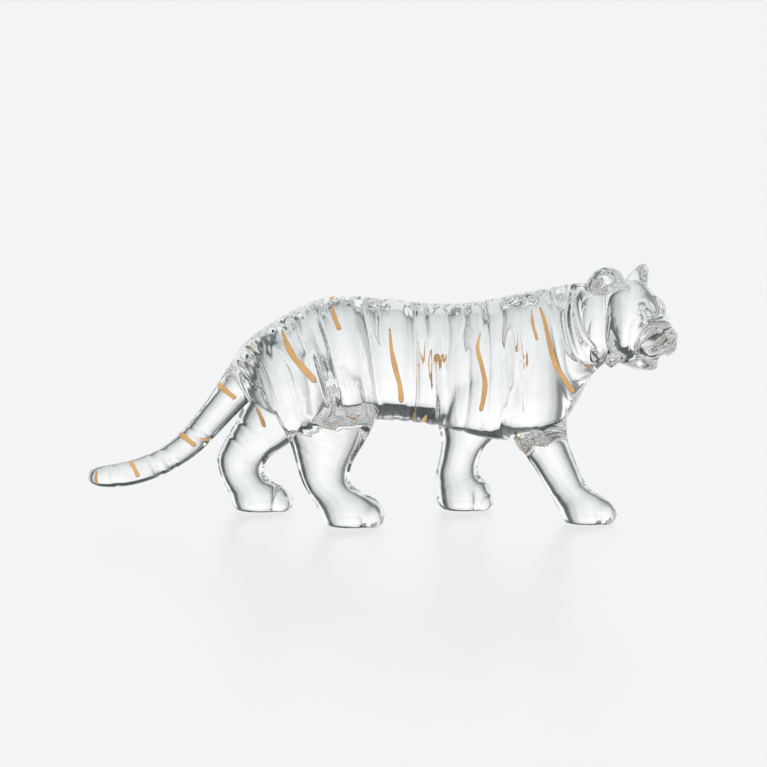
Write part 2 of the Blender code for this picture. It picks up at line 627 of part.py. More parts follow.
def thinned(mesh, triangles):
    """The carved skin brought down to the wanted number of triangles."""
    obj = bpy.data.objects.new("thin", mesh)
    bpy.context.scene.collection.objects.link(obj)
    thin = obj.modifiers.new("thin", "DECIMATE")
    thin.ratio = triangles / (2 * len(mesh.polygons))
    thin.use_collapse_triangulate = True
    out = bpy.data.meshes.new_from_object(obj.evaluated_get(bpy.context.evaluated_depsgraph_get()))
    bpy.data.objects.remove(obj)
    return out


def ground_flat(mesh):
    """The soles cut level, all four at one height."""
    bm = bmesh.new()
    bm.from_mesh(mesh)
    cut = bmesh.ops.bisect_plane(
        bm, geom=bm.verts[:] + bm.edges[:] + bm.faces[:], dist=1e-6,
        plane_co=(0, 0, SOLE_GRIND), plane_no=(0, 0, -1), clear_outer=True)["geom_cut"]
    rim = [e for e in cut if isinstance(e, bmesh.types.BMEdge)]
    bmesh.ops.holes_fill(bm, edges=rim)
    bmesh.ops.dissolve_degenerate(bm, dist=1e-5, edges=bm.edges[:])
    bmesh.ops.triangulate(bm, faces=bm.faces[:])
    bmesh.ops.recalc_face_normals(bm, faces=bm.faces[:])
    bm.to_mesh(mesh)
    bm.free()


def leaf_mesh(name, skin, body_skin, spot, points, half_width):
    """The underside of one gold leaf: its two edges laid on the glass and lifted by the gap."""
    dense, _ = laid(skin, spot, points, 40)
    length = np.linalg.norm(np.diff(dense, axis=0), axis=1).sum()
    count = max(4, round(length / GILT_STEP) + 1)
    places, normals = laid(skin, spot, points, count)
    along = np.gradient(places, axis=0)
    along /= np.linalg.norm(along, axis=1)[:, None]
    normals[1:-1] = (normals[:-2] + normals[1:-1] + normals[2:]) / 3
    normals -= along * (normals * along).sum(axis=1)[:, None]
    normals /= np.linalg.norm(normals, axis=1)[:, None]
    across = np.cross(normals, along)
    width = half_width * MM * (1 - 0.65 * np.abs(np.linspace(-1, 1, len(places))) ** 2.5)
    verts = []
    for place, normal, aside, half in zip(places, normals, across, width):
        for edge in (-1, 1):
            start = place + aside * half * edge + normal * PROBE_REACH
            hit, _ = body_skin.under(start, -normal)
            verts.append(hit + normal * GILT_GAP)
    faces = [(k, k + 2, k + 3, k + 1) for k in range(0, 2 * len(places) - 2, 2)]
    mesh = bpy.data.meshes.new(name)
    mesh.from_pydata(verts, [], faces)
    return mesh


def material(name, colour, roughness, metallic=0.0, transmission=0.0, ior=1.5):
    """A Principled BSDF material."""
    made = bpy.data.materials.new(name)
    made.use_nodes = True
    shader = made.node_tree.nodes["Principled BSDF"]
    shader.inputs["Base Color"].default_value = (*colour, 1)
    shader.inputs["Roughness"].default_value = roughness
    shader.inputs["Metallic"].default_value = metallic
    shader.inputs["Transmission Weight"].default_value = transmission
    shader.inputs["IOR"].default_value = ior
    return made


def placed(collection, name, mesh, finish):
    """An object in the tiger's collection, smooth but for its sharp edges."""
    mesh.name = name
    mesh.materials.clear()
    mesh.materials.append(finish)
    mesh.shade_smooth()
    mesh.set_sharp_from_angle(angle=math.radians(50))
    obj = bpy.data.objects.new(name, mesh)
    collection.objects.link(obj)
    return obj


def gilt_strokes():
    """Each gilded stripe: its name, the member that it is drawn on, its points and its half width."""
    for name, (points, half_width) in TRUNK_GILT.items():
        yield name, trunk_spot, points, half_width
    for name, (points, half_width) in TAIL_GILT.items():
        yield name, tail_spot, points, half_width
    for name, (leg, points, half_width) in LEG_GILT.items():
        yield name, on_leg(leg), points, half_width


def outer_corners(objects):
    """The lowest and the highest corner of all the objects, as their modifiers leave them."""
    depsgraph = bpy.context.evaluated_depsgraph_get()
    corners = []
    for obj in objects:
        shaped = obj.evaluated_get(depsgraph)
        corners += [v.co[:] for v in shaped.data.vertices]
    return np.min(corners, axis=0), np.max(corners, axis=0)


def main():
    for obj in list(bpy.data.objects):
        bpy.data.objects.remove(obj)
    collection = bpy.data.collections.new("tiger_figurine")
    bpy.context.scene.collection.children.link(collection)
    glass = material("clear_glass", (0.93, 0.97, 0.96), 0.02, transmission=1.0, ior=1.52)
    gold = material("gilding", (0.75, 0.45, 0.18), 0.38, metallic=1.0)

    form = cast_form()
    skin = Skin(form)
    carve(form, plain_strokes(skin))
    cast = thinned(form, BODY_TRIANGLES)
    ground_flat(cast)
    body = placed(collection, "tiger_body", cast, glass)
    body_skin = Skin(cast)
    for name, spot, points, half_width in gilt_strokes():
        leaf = placed(collection, name, leaf_mesh(name, skin, body_skin, spot, points, half_width), gold)
        thick = leaf.modifiers.new("thickness", "SOLIDIFY")
        thick.thickness = GILT_THICKNESS
        thick.offset = 1
        leaf.parent = body

    low, high = outer_corners(collection.objects)
    body.location = (-(low[0] + high[0]) / 2, -(low[1] + high[1]) / 2, -low[2])


main()
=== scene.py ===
"""Looks of the walking tiger: clear cast glass with carved and gilded stripes, on a pale studio floor.

Lengths are in metres and tables of sections in millimetres, as a carver would measure them, with X from
the rump forward, Y to the tiger's left and Z up from the soles.  The finished pieces are then moved
onto the frame's own tiger.
"""
import math

import bpy
import numpy as np
from mathutils import Euler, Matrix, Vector
from mathutils.bvhtree import BVHTree


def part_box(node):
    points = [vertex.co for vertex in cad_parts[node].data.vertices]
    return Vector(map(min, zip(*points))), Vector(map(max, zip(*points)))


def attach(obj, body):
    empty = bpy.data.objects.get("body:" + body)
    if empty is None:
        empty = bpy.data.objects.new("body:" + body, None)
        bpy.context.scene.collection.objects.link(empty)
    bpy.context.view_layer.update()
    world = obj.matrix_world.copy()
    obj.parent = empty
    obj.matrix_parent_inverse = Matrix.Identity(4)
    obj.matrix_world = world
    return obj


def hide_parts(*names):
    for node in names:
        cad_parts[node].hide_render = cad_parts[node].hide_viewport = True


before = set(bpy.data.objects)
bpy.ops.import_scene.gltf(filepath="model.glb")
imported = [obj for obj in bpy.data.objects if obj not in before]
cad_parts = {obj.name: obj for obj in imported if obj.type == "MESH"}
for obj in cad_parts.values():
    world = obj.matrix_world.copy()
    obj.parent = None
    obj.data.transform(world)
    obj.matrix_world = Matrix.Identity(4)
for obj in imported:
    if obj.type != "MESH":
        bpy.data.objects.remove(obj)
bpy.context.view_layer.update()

MM = 0.001

# Trunk, seen from the side and from above
TRUNK_LENGTH = 0.198
BACK_HEIGHT = 0.115
BELLY_HEIGHT = 0.050
TRUNK_HALF_WIDTH = 0.025
# Paws, tail and head
HIND_PAW_LENGTH = 0.0325
FORE_PAW_LENGTH = 0.0295
PAW_HALF_WIDTH = 0.010
TOE_RADIUS = 0.0027
TOE_HALF_LENGTH = 0.0058
TOE_HALF_HEIGHT = 0.0046
TOE_HEIGHT = 0.0048
TOE_PITCH = 0.00435
TOE_BACK = 0.0050
TOE_STAGGER = 0.0014
TOE_TURN = (0, 12, 0)
SOLE_GRIND = 0.0004
TAIL_LENGTH = 0.0762
TAIL_RADIUS = 0.0065
HEAD_PLACE = (TRUNK_LENGTH - 0.0005, -0.0045, BACK_HEIGHT - 0.013)
HEAD_TURN = (-5.0, 9.0, -35.0)
EAR_HALF_WIDTH = 0.0107
EAR_HALF_HEIGHT = 0.0110
EAR_THICKNESS = 0.0042
EAR_HOLLOW = 0.0024
EAR_BACK_HOLLOW = 0.0011
EAR_THINNING = 0.5
EAR_NARROWING = 0.12
EYE_RADIUS = 0.0028
# Carved stripes and flutes: how much a stroke fades and narrows towards its ends
STRIPE_HALF_WIDTH = 0.0022
STRIPE_DEPTH = 0.0013
STRIPE_PITCH = 0.0063
FLUTE_HALF_WIDTH = 0.0034
FLUTE_DEPTH = 0.0006
STROKE_FADE = 0.85
STROKE_NARROWING = 0.6
# Gilding: its section, then along its length from -1 to 1 how wide it starts, how long it takes to reach its
# full width, where its round end begins, how much it narrows there, and how far and how often it wavers
GILT_CROWN = 0.00016
GILT_LIP = 0.00002
GILT_ROOT = 0.00022
GILT_COLUMNS = 7
GILT_ROWS = 40
GILT_POINT = 0.3
GILT_POINT_LENGTH = 1.1
GILT_ROUND_FROM = 0.9
GILT_ROUNDING = 0.9
GILT_WAVER = 0.1
GILT_WAVES = 7
GILT_WAVE_START = 900
# How far above a member a stroke is laid down from, and how squarely the skin must face it
PROBE_REACH = 0.012
PROBE_FACING = 0.1
PROBE_ROWS = 160
# Squareness of the sections, 2 for an ellipse
TRUNK_SQUARENESS = 2.15
LEG_SQUARENESS = 2.3
SKULL_SQUARENESS = 2.15
# Fineness of the casting
TRUNK_ROWS = 120
LEG_ROWS = 100
TAIL_ROWS = 90
SKULL_ROWS = 70
FUSE_VOXEL = 0.0009
DETAIL_VOXEL = 0.00095
FUSE_SMOOTHING = 14
HEAD_SMOOTHING = 24
DETAIL_SMOOTHING = 9
CARVED_SMOOTHING = 3

# Trunk sections: percent of its length, back and belly against their heights (mm), percent of half width
TRUNK = [
    (0, -32, 26, 12), (1, -27, 20, 36), (4, -21, 13, 64), (9.5, -13.5, 5, 86), (16, -6, 0.5, 98),
    (23, -0.7, 0.5, 100), (31, 0.3, 2, 96), (39.5, -1, 1.7, 92), (48.5, -3, 0, 92),
    (56.5, -3.4, -3.5, 96), (64.5, -1.7, -7.5, 102), (71.5, 1.3, -9, 102), (79, 4, -7.5, 94),
    (84, 6, -2, 84), (87.5, 7.3, 8.5, 80), (89.5, 7.5, 16.5, 78), (92, 7, 25.5, 76),
    (95.5, 4.5, 32, 70), (100, -3, 40, 44),
]

# A paw's foot: height (mm), how far the toes and the heel draw in (mm), percent of half width
PAW = [(0, 5.6, 3.6, 75), (2.2, 1.0, 1.2, 93), (5.6, 0, 0, 100)]

# Legs above the paw: height, back and front behind the toes, out from the middle, half width (mm)
NEAR_HIND_LEG = [
    (9.9, -34.4, -1.0, 17, 9.8), (13.5, -36.4, -4.1, 17, 9), (16.1, -38, -9.2, 17, 8.2),
    (21.9, -41.6, -16.8, 17, 7.6), (27.1, -43.5, -17.5, 17, 7.8), (32.8, -45.1, -16, 17, 8.6),
    (43.2, -47.9, -10.2, 17.5, 10.5), (55.2, -54, -4.5, 17, 12.5), (65.6, -60.2, -5, 16, 13.3),
    (76, -64.2, -8, 15.5, 13), (86.5, -63.5, -14.5, 14, 12), (97, -56.5, -23.5, 11, 10),
    (103, -49.5, -31.5, 9, 6),
]
FAR_HIND_LEG = [
    (9, -33.4, -1.4, 14.5, 9.6), (12.6, -34.8, -5.8, 14.5, 8.6), (14.7, -35.8, -10.4, 14.5, 8.2),
    (19.4, -37.8, -14.2, 14.5, 7.6), (22.6, -38.6, -14.7, 14.5, 7.7), (27.2, -39.5, -12.5, 14.7, 8.2),
    (31.7, -38, -6.8, 15, 9), (36.1, -35.7, -0.8, 15.5, 10), (45.5, -30.3, 11.2, 16, 11.5),
    (55, -25.8, 19.2, 16.5, 12.6), (66, -22.8, 22.2, 16.5, 13.3), (78, -20.8, 22.2, 15.5, 13),
    (88, -15.8, 19.2, 14, 12), (97, -8.8, 13.2, 11, 10), (103, -1.8, 7.2, 9, 6),
]
FAR_FORE_LEG = [
    (9, -30.4, -0.2, 16.5, 9.8), (12, -30.8, -1, 16.5, 9.2), (14.5, -30.9, -3.3, 16.5, 8.6),
    (17, -30.7, -6, 16.5, 8), (19.9, -30.1, -7.8, 16.5, 7.8), (25.6, -28.5, -7.5, 16.3, 8),
    (32.9, -27.2, -4.8, 16, 8.8), (38, -27.2, -0.3, 15.8, 9.6), (43.9, -28.8, 5.2, 15.5, 10.5),
    (55, -27.8, 12.2, 15, 11.5), (68, -21.8, 20.2, 14.5, 12), (80, -10.8, 27.2, 13, 11.5),
    (92, -0.8, 29.2, 11, 10), (101, 5.2, 25.2, 9, 6),
]
NEAR_FORE_LEG = [
    (8.4, -30.8, -1, 11, 10), (11, -32, -3.2, 11, 9.4), (13, -33.3, -6.3, 11, 9),
    (15.7, -34.8, -11, 11, 8.4), (18.5, -36.4, -14.5, 11.3, 8), (25.6, -40.5, -18.2, 12, 8.1),
    (31.3, -44.2, -20.6, 12.5, 8.8), (37.6, -48.6, -23.1, 13, 9.7), (43.5, -55, -25.2, 13.5, 10.6),
    (49, -59, -26, 14, 11.3), (60, -62, -26.5, 14.5, 12.3), (72, -61, -27.5, 14.5, 12.5),
    (84, -57, -29, 13, 12), (96, -52, -31, 11, 10), (104, -47, -34, 9, 6),
]

# Each leg: its sections, where its toes stand (percent of the trunk's length), its side, its paw's length
LEGS = {
    "near_hind": (NEAR_HIND_LEG, 38.6, -1, HIND_PAW_LENGTH),
    "far_hind": (FAR_HIND_LEG, 14.5, 1, HIND_PAW_LENGTH),
    "far_fore": (FAR_FORE_LEG, 67.1, 1, FORE_PAW_LENGTH),
    "near_fore": (NEAR_FORE_LEG, 98.5, -1, FORE_PAW_LENGTH),
}

# Tail, from its tip to inside the rump: percent of its length, height (mm), percent of its radius
TAIL = [
    (0, 21.7, 12), (1, 21.6, 46), (4.3, 21.5, 71), (13.4, 21.6, 91), (31.3, 23.7, 100), (52, 30, 103),
    (70, 39.8, 111), (85, 52.7, 122), (99.5, 66.2, 143), (110, 77.2, 163), (122, 86, 185),
    (135.5, 90, 185),
]

# Skull sections, from its back to the nose: along, top, bottom, half width (mm from the head's centre)
SKULL = [
    (-20, 4, -2, 3), (-18.5, 9, -8, 10), (-14.5, 16, -15, 17), (-8, 20.5, -19, 21),
    (0, 22.3, -19.5, 22.5), (7, 20.8, -17.5, 21), (13, 17, -14.5, 17), (18, 12.5, -12, 13.3),
    (22.5, 8, -10.5, 11.5), (26.5, 4.2, -9.5, 9.5), (29.3, 1.6, -7.5, 6), (30.4, -1, -5, 2.5),
]

# Rounded forms on each side of the head: centre, radii, turn (mm, degrees), how much they narrow downwards
PAIRED_FORMS = [
    ((19.2, 5.9, -5.2), (9.4, 6.9, 6.2), (0, 13, 0), 0),            # whisker pad
    ((-6.0, 16.6, -2.6), (9.0, 8.6, 19.2), (6, -19, 0), 0.45),      # ruff behind the cheek
    ((3.2, 11.6, -13.8), (6.4, 4.8, 9.2), (12, -10, 0), 0.6),       # pointed tuft under the cheek
    ((14.2, 8.0, 12.6), (4.8, 5.6, 3.0), (0, 36, 22), 0),           # brow
]
MIDDLE_FORMS = [
    ((28.6, 0, 0.6), (2.6, 5.2, 3.0), (0, -14, 0), 0.45),           # nose, narrow below
    ((20.0, 0, 3.8), (10.5, 4.8, 4.0), (0, 27, 0), 0),              # bridge of the nose
    ((10.5, 0, -15.9), (12.0, 8.4, 4.4), (0, 1, 0), 0),             # lower jaw
    ((18.8, 0, -15.6), (4.8, 5.8, 4.0), (0, 0, 0), 0),              # chin
]
EYE_PLACE = (14.9, 9.9, 9.2)
EYE_FACING = (0.62, 0.66, 0.42)
EYE_ALMOND = (1.5, 0.9)
EYE_SLANT = 0.3
EAR_PLACE = (-5.4, 16.6, 19.3)
EAR_TURN = (0, 12, 50)

# Gilded stripes on the trunk: percent of its length, degrees from the spine (near side positive), and
# the half width (mm)
TRUNK_GILT = {
    "haunch_gilt": ([(12.5, 35), (14, 58), (16, 74), (18.5, 86), (21.3, 98)], 1.55),
    "hip_gilt": ([(25.4, 23), (25.6, 34), (26.2, 44), (27.3, 55)], 1.15),
    "hip_crest_gilt": ([(25.0, 8), (25.3, -6), (25.8, -22)], 1.5),
    "flank_gilt": ([(39.9, 52), (40.4, 73), (41.4, 90), (42.5, 106), (42.9, 124)], 1.25),
    "middle_gilt": ([(62.8, 51), (62.1, 64), (63.2, 80), (64, 93), (63.7, 106), (63, 119)], 1.25),
    "shoulder_gilt": ([(78, 35), (79.1, 50), (80.4, 70), (82, 87), (84.3, 103), (87.2, 128)], 1.35),
    "shoulder_fork_gilt": ([(75.8, 35), (76.1, 50), (77.2, 64)], 0.75),
    "belly_gilt": ([(49.3, 137), (48.7, 149), (47.8, 166)], 1.1),
    "crest_gilt": ([(39.9, -8), (40.9, -27), (42, -45), (41.2, -68)], 1.6),
    "back_gilt": ([(51.8, -6), (52.6, -28), (52.9, -50), (52.8, -66)], 1.1),
    "withers_gilt": ([(75, -4), (75.4, -20), (75.9, -38)], 1.1),
    "nape_gilt": ([(84.9, -4), (84.4, -22), (83.8, -40)], 0.9),
    "far_flank_gilt": ([(49.1, -83), (48.3, -101), (47, -127)], 0.85),
    "far_chevron_gilt": ([(51.4, -99), (52.2, -91), (53.4, -89), (54.8, -98)], 0.9),
    "far_shoulder_gilt": ([(71.9, -74), (73.2, -82), (74.6, -86), (75.9, -98)], 0.85),
    "far_neck_gilt": ([(85.1, -82), (87.1, -101), (89.2, -122)], 0.75),
    "far_rump_gilt": ([(4.5, -40), (7.2, -50), (8.8, -68), (11.8, -92)], 1.4),
}
# On the tail: percent of its length from the tip, degrees from its top; half width (mm)
TAIL_GILT = {
    "tail_tip_gilt": ([(7, 40), (6.4, 85), (7, 130)], 0.75),
    "tail_low_gilt": ([(31, -35), (31.8, 18), (33.8, 64), (34.5, 107)], 1.1),
    "tail_middle_gilt": ([(68.5, -35), (69.2, 8), (70.8, 56), (71.6, 110)], 1.3),
    "tail_under_gilt": ([(75.6, 98), (76.6, 124), (77.2, 148)], 0.85),
    "tail_root_gilt": ([(97.8, -35), (98.6, 15), (99, 62), (99, 104)], 1.3),
}
# On a leg's outer side: height (mm), percent of the way from its back to its front; half width (mm)
LEG_GILT = {
    "far_thigh_gilt": ("far_hind", [(54, 24), (49, 32), (43, 44)], 0.85),
}

# Carved stripes on the trunk run between these percents of its length and lean forward by these percents
STRIPES_FROM, STRIPES_TO = 5, 89
STRIPE_LEAN = ((5, 20, 32, 42, 70, 80, 90), (9, 9, 6, 1, 0, 3, 6))
STRIPE_WAVE = 0.6
STRIPE_JITTER = (0.25, 0.75)
# They lean about this place, in degrees from the spine, and start and end between these
STRIPE_PIVOT = 80
LONG_STRIPE = ((16, 34), (112, 142))
HIGH_STRIPE = ((14, 30), (52, 80))
LOW_STRIPE = ((44, 70), (112, 142))
# The near side is 1 and the far side -1, each with its stripes' seed; the flutes' seeds are this much further
SIDE_SEEDS = ((1, 5), (-1, 12))
FLUTE_SEEDS = (20, 40)
# Notches across the spine and the belly: first, last and step in percent of the trunk's length, then how
# many degrees each reaches to both sides and how far its middle lies forward
SPINE_NOTCHES = (7, 90, 2.9)
SPINE_NOTCH_REACH, SPINE_NOTCH_BEND = 16, 0.6
BELLY_NOTCHES = (41.5, 60, 3.4)
BELLY_NOTCH_REACH, BELLY_NOTCH_BEND = 28, 0.5
# Folds where the neck meets the head, drawn as the trunk's stripes are
NECK_FOLDS = [
    [(85.3, 30), (84.6, 52), (86.2, 82), (89.2, 108)],
    [(87.7, 24), (87.0, 42), (87.5, 62), (89.4, 86), (92.3, 106)],
]
# Stripes and the lines between the toes, on a leg's outer side as its gilding is
LEG_STRIPES = {
    "near_hind": [
        [(62, 22), (55, 42), (50, 66)],
        [(52, 14), (46, 36), (41, 62)],
        [(43, 10), (37, 34), (33, 60)],
    ],
    "far_hind": [
        [(66, 16), (60, 30), (55, 50)],
        [(48, 8), (43, 22), (38, 46)],
        [(40, 6), (35, 24), (31, 50)],
    ],
    "far_fore": [
        [(56, 20), (53, 45), (53, 72)],
        [(47, 12), (44, 38), (43, 66)],
    ],
    "near_fore": [
        [(60, 18), (54, 40), (50, 64)],
        [(50, 14), (44, 38), (41, 64)],
    ],
}
TOE_LINES = ([(1.2, 66), (4, 67), (8, 63)], [(1.2, 83), (3.5, 84), (6.5, 80)])
# Rings round the tail: percent of its length from the tip, and how far their sides lean
TAIL_RINGS = (19, 46, 55, 76.5, 107)
TAIL_RING_LEAN = 2.5
# Lines carved on each side of the head (mm from the head's centre)
HEAD_LINES = [
    [(-1.5, 17.5, 12), (1.0, 19.5, 3), (1.2, 18.5, -6), (0.5, 15, -14)],
    [(-5.5, 20, 9), (-6.5, 23, 0), (-5.5, 22.5, -9), (-3, 19, -17)],
    [(-10.5, 20, 9), (-12, 23, 0), (-10.5, 22.5, -10), (-7, 19, -17)],
    [(27.8, 3.6, 3.4), (23.5, 7.5, 5.8), (19, 10.5, 5.0), (16.5, 12.2, 0.5), (14, 13.2, -5), (11, 13, -10)],
]
MOUTH_LINE = [
    (12, -10.8, -12.3), (19, -8, -12), (24.5, -4, -11.6), (26.5, 0, -11.4), (24.5, 4, -11.6), (19, 8, -12),
    (12, 10.8, -12.3),
]
LIP_LINE = [(30.5, 0, -1.5), (30, 0, -4.5), (28, 0, -8), (26, 0, -10.5)]
# How each stroke is cut: half width and depth against a plain stripe's, and in how many places it is laid
CUTS = {
    "stripe": (1.0, 1.0, 60),
    "near_fold": (1.3, 2.7, 60),
    "far_fold": (1.3, 0.7, 60),
    "head_line": (0.75, 0.5, 40),
    "eye_rim": (0.6, 0.7, 40),
    "spine_notch": (0.6, 0.7, 20),
    "belly_notch": (0.7, 0.9, 24),
    "leg_stripe": (0.9, 0.45, 40),
    "toe_line": (0.7, 0.9, 20),
    "tail_ring": (0.6, 0.7, 60),
    "mouth": (0.7, 1.5, 60),
    "lip": (0.65, 0.9, 20),
}

# Glass and gold: colours where the finish is cloudy and clear, least and most roughness, bump strength and
# depth, and the swell's scale, the tooth's scale and the tooth's share of the finish
GLASS_TINTS = ((0.965, 0.985, 0.98), (0.99, 0.998, 0.995))
GLASS_ROUGHNESS = (0.0, 0.004)
GLASS_BUMP = (0.25, 0.0006)
GLASS_WORKED = (120.0, 600.0, 0.01)
GLASS_IOR = 1.52
GOLD_TINTS = ((0.68, 0.39, 0.165), (0.84, 0.51, 0.225))
GOLD_ROUGHNESS = (0.30, 0.46)
GOLD_BUMP = (0.5, 0.0002)
GOLD_WORKED = (420.0, 2600.0, 0.5)
CLOUD_SIZE = 45.0

# Studio: the camera's target, height above the level, distance, and the width that it takes in there
TARGET = (0.0018, 0.0, 0.0699)
CAMERA_RISE = 12.0
CAMERA_DISTANCE = 1.4
VIEW_WIDTH = 0.3912
SENSOR = 36.0
FLOOR_HALF = 30.0
FLOOR_BELOW_SOLES = 0.0001
FLOOR_ROUGHNESS = 0.35
FLOOR_SHEEN = 0.25
PAPER = (0.905, 0.914, 0.930)
WHITE = (1.0, 1.0, 1.0)
# What is seen through the glass: a tent's shades by the sine of the height, with powers that cool its darks,
# and cards' darkness by degrees from +X, faded out between these sines of the height
TENT = (
    (-1.0, 0.62), (-0.6, 0.80), (-0.35, 0.90), (-0.12, 0.99), (0.05, 1.08), (0.2, 1.12),
    (0.29, 0.9), (0.34, 0.03), (0.76, 0.01), (0.86, 0.9), (1.0, 1.05),
)
COOL = (1.10, 0.98, 0.95)
CARDS = (
    (-180, 0.6), (-172, 0.0), (-134, 0.0), (-122, 0.8), (-108, 0.0), (-72, 0.0), (-58, 0.8), (-46, 0.0),
    (-14, 0.0), (-6, 1.0), (10, 1.0), (18, 0.0), (44, 0.0), (53, 1.0), (60, 1.0), (71, 0.4), (80, 0.12),
    (90, 0.0), (100, 0.12), (109, 0.4), (118, 0.85), (123, 0.85), (132, 0.0), (165, 0.0), (173, 0.6),
    (180, 0.6),
)
CARD_FADE = (0.75, 0.45)
CARD_SHADE = (0.05, 0.068, 0.072)
LIGHT_BOUNCES = 24


def through(stations, count):
    """Rows read evenly from a smooth cubic (Hermite) curve through the stations' rows."""
    rows = np.asarray(stations, float)
    step = np.linalg.norm(np.diff(rows, axis=0), axis=1)
    knots = np.concatenate([[0.0], np.cumsum(np.sqrt(step))])
    slopes = np.gradient(rows, knots, axis=0)
    at = np.linspace(0.0, knots[-1], count)
    low = np.clip(np.searchsorted(knots, at, side="right") - 1, 0, len(knots) - 2)
    span = (knots[low + 1] - knots[low])[:, None]
    t = (at - knots[low])[:, None] / span
    return (
        (2 * t**3 - 3 * t**2 + 1) * rows[low]
        + (t**3 - 2 * t**2 + t) * span * slopes[low]
        + (3 * t**2 - 2 * t**3) * rows[low + 1]
        + (t**3 - t**2) * span * slopes[low + 1]
    )


def turned(degrees):
    """The matrix of a turn about X, then Y, then Z."""
    return np.array(Euler([math.radians(a) for a in degrees]).to_matrix())


def unit(arrows):
    """Each arrow at length one."""
    return arrows / np.linalg.norm(arrows, axis=-1, keepdims=True)


def trunk_x(percent):
    """Where a share of the trunk's length lies along X."""
    return TRUNK_LENGTH * np.asarray(percent, float) / 100


def trunk_sections():
    """The trunk's sections in metres: x, top, bottom, half width."""
    share, back, belly, width = np.asarray(TRUNK, float).T
    return np.stack([
        trunk_x(share), BACK_HEIGHT + back * MM, BELLY_HEIGHT + belly * MM, TRUNK_HALF_WIDTH * width / 100,
    ], axis=1)


def leg_sections(rows, toes_percent, side, paw_length):
    """A leg's sections in metres, from its sole up: height, back, front, y, half width."""
    toes = trunk_x(toes_percent)
    out = rows[0][3] * MM
    foot = [
        (h * MM, toes - paw_length + heel * MM, toes - toe * MM, side * out, PAW_HALF_WIDTH * width / 100)
        for h, toe, heel, width in PAW
    ]
    leg = [
        (h * MM, toes + back * MM, toes + front * MM, side * y * MM, w * MM)
        for h, back, front, y, w in rows
    ]
    return np.array(foot + leg)


def tail_sections():
    """The tail's stations in metres, from its tip: x, y, z, radius."""
    share, height, radius = np.asarray(TAIL, float).T
    x = TAIL_LENGTH * (share / 100 - 1)
    return np.stack([x, 0 * x, height * MM, TAIL_RADIUS * radius / 100], axis=1)


def head_placed(points):
    """Points in mm from the head's centre, turned with the head and set at the end of the neck."""
    return np.asarray(points, float) * MM @ turned(HEAD_TURN).T + HEAD_PLACE


def rings_round(centre, across, upward, half_across, half_up, power=2.0, around=48):
    """A ring for each section: centre + a cos^(2/p) across + b sin^(2/p) upward, as sections x around x 3."""
    angle = np.linspace(0, 2 * np.pi, around, endpoint=False)
    c = np.sign(np.cos(angle)) * np.abs(np.cos(angle)) ** (2 / power)
    s = np.sign(np.sin(angle)) * np.abs(np.sin(angle)) ** (2 / power)
    return (
        centre[:, None]
        + (half_across[:, None] * c)[..., None] * np.atleast_2d(across)[:, None]
        + (half_up[:, None] * s)[..., None] * np.atleast_2d(upward)[:, None]
    )


def closed_skin(rings):
    """Points and triangles of a grid of rings, closed round each ring and drawn in to a pole at each end."""
    rows, around = rings.shape[:2]
    points = np.concatenate([rings.reshape(-1, 3), [rings[0].mean(axis=0), rings[-1].mean(axis=0)]])
    i, j = np.meshgrid(np.arange(rows - 1), np.arange(around), indexing="ij")
    a, b = i * around + j, i * around + (j + 1) % around
    k, last = np.arange(around), (rows - 1) * around
    triangles = np.concatenate([
        np.stack([a, b, b + around], axis=-1).reshape(-1, 3),
        np.stack([a, b + around, a + around], axis=-1).reshape(-1, 3),
        np.stack([(k + 1) % around, k, np.full(around, rows * around)], axis=-1),
        np.stack([last + k, last + (k + 1) % around, np.full(around, rows * around + 1)], axis=-1),
    ])
    return points, triangles


def unit_ball(rows=22, around=32):
    """Rings (cos a sin v, sin a sin v, -cos v) of a ball, from its lowest to its highest."""
    v = np.linspace(0, np.pi, rows + 2)[1:-1, None]
    a = np.linspace(0, 2 * np.pi, around, endpoint=False)
    return np.stack([np.cos(a) * np.sin(v), np.sin(a) * np.sin(v), -np.cos(v) + 0 * a], axis=-1)


def ellipsoid(centre, radii, turn=(0, 0, 0), taper=0):
    """The ball's rings stretched to the radii, widened by 1 + taper z, turned and set at the centre."""
    rings = unit_ball()
    rings[..., :2] *= 1 + taper * rings[..., 2:]
    return rings * radii @ turned(turn).T + centre


def trunk_skin():
    """The trunk, from the rump to inside the head."""
    x, top, bottom, half = through(trunk_sections(), TRUNK_ROWS).T
    centre = np.stack([x, 0 * x, (top + bottom) / 2], axis=1)
    return closed_skin(rings_round(centre, (0, 1, 0), (0, 0, 1), half, (top - bottom) / 2, TRUNK_SQUARENESS))


def leg_skin(leg):
    """One leg, from its sole to inside the trunk."""
    z, back, front, y, half = through(leg_sections(*LEGS[leg]), LEG_ROWS).T
    centre = np.stack([(back + front) / 2, y, z], axis=1)
    return closed_skin(rings_round(centre, (1, 0, 0), (0, 1, 0), (front - back) / 2, half, LEG_SQUARENESS))


def toe_skins(leg):
    """Four toes side by side, the outer two set back."""
    rows, toes_percent, side, _ = LEGS[leg]
    for slot in (-1.5, -0.5, 0.5, 1.5):
        back = TOE_BACK + TOE_STAGGER * (abs(slot) - 0.5)
        centre = (trunk_x(toes_percent) - back, side * rows[0][3] * MM + slot * TOE_PITCH, TOE_HEIGHT)
        yield closed_skin(ellipsoid(centre, (TOE_HALF_LENGTH, TOE_RADIUS, TOE_HALF_HEIGHT), TOE_TURN))


def tail_skin():
    """The tail: a circle carried along its path, square to it."""
    rows = through(tail_sections(), TAIL_ROWS)
    along = unit(np.gradient(rows[:, :3], axis=0))
    upward = np.stack([-along[:, 2], along[:, 1], along[:, 0]], axis=1)
    return closed_skin(rings_round(rows[:, :3], (0, 1, 0), upward, rows[:, 3], rows[:, 3]))


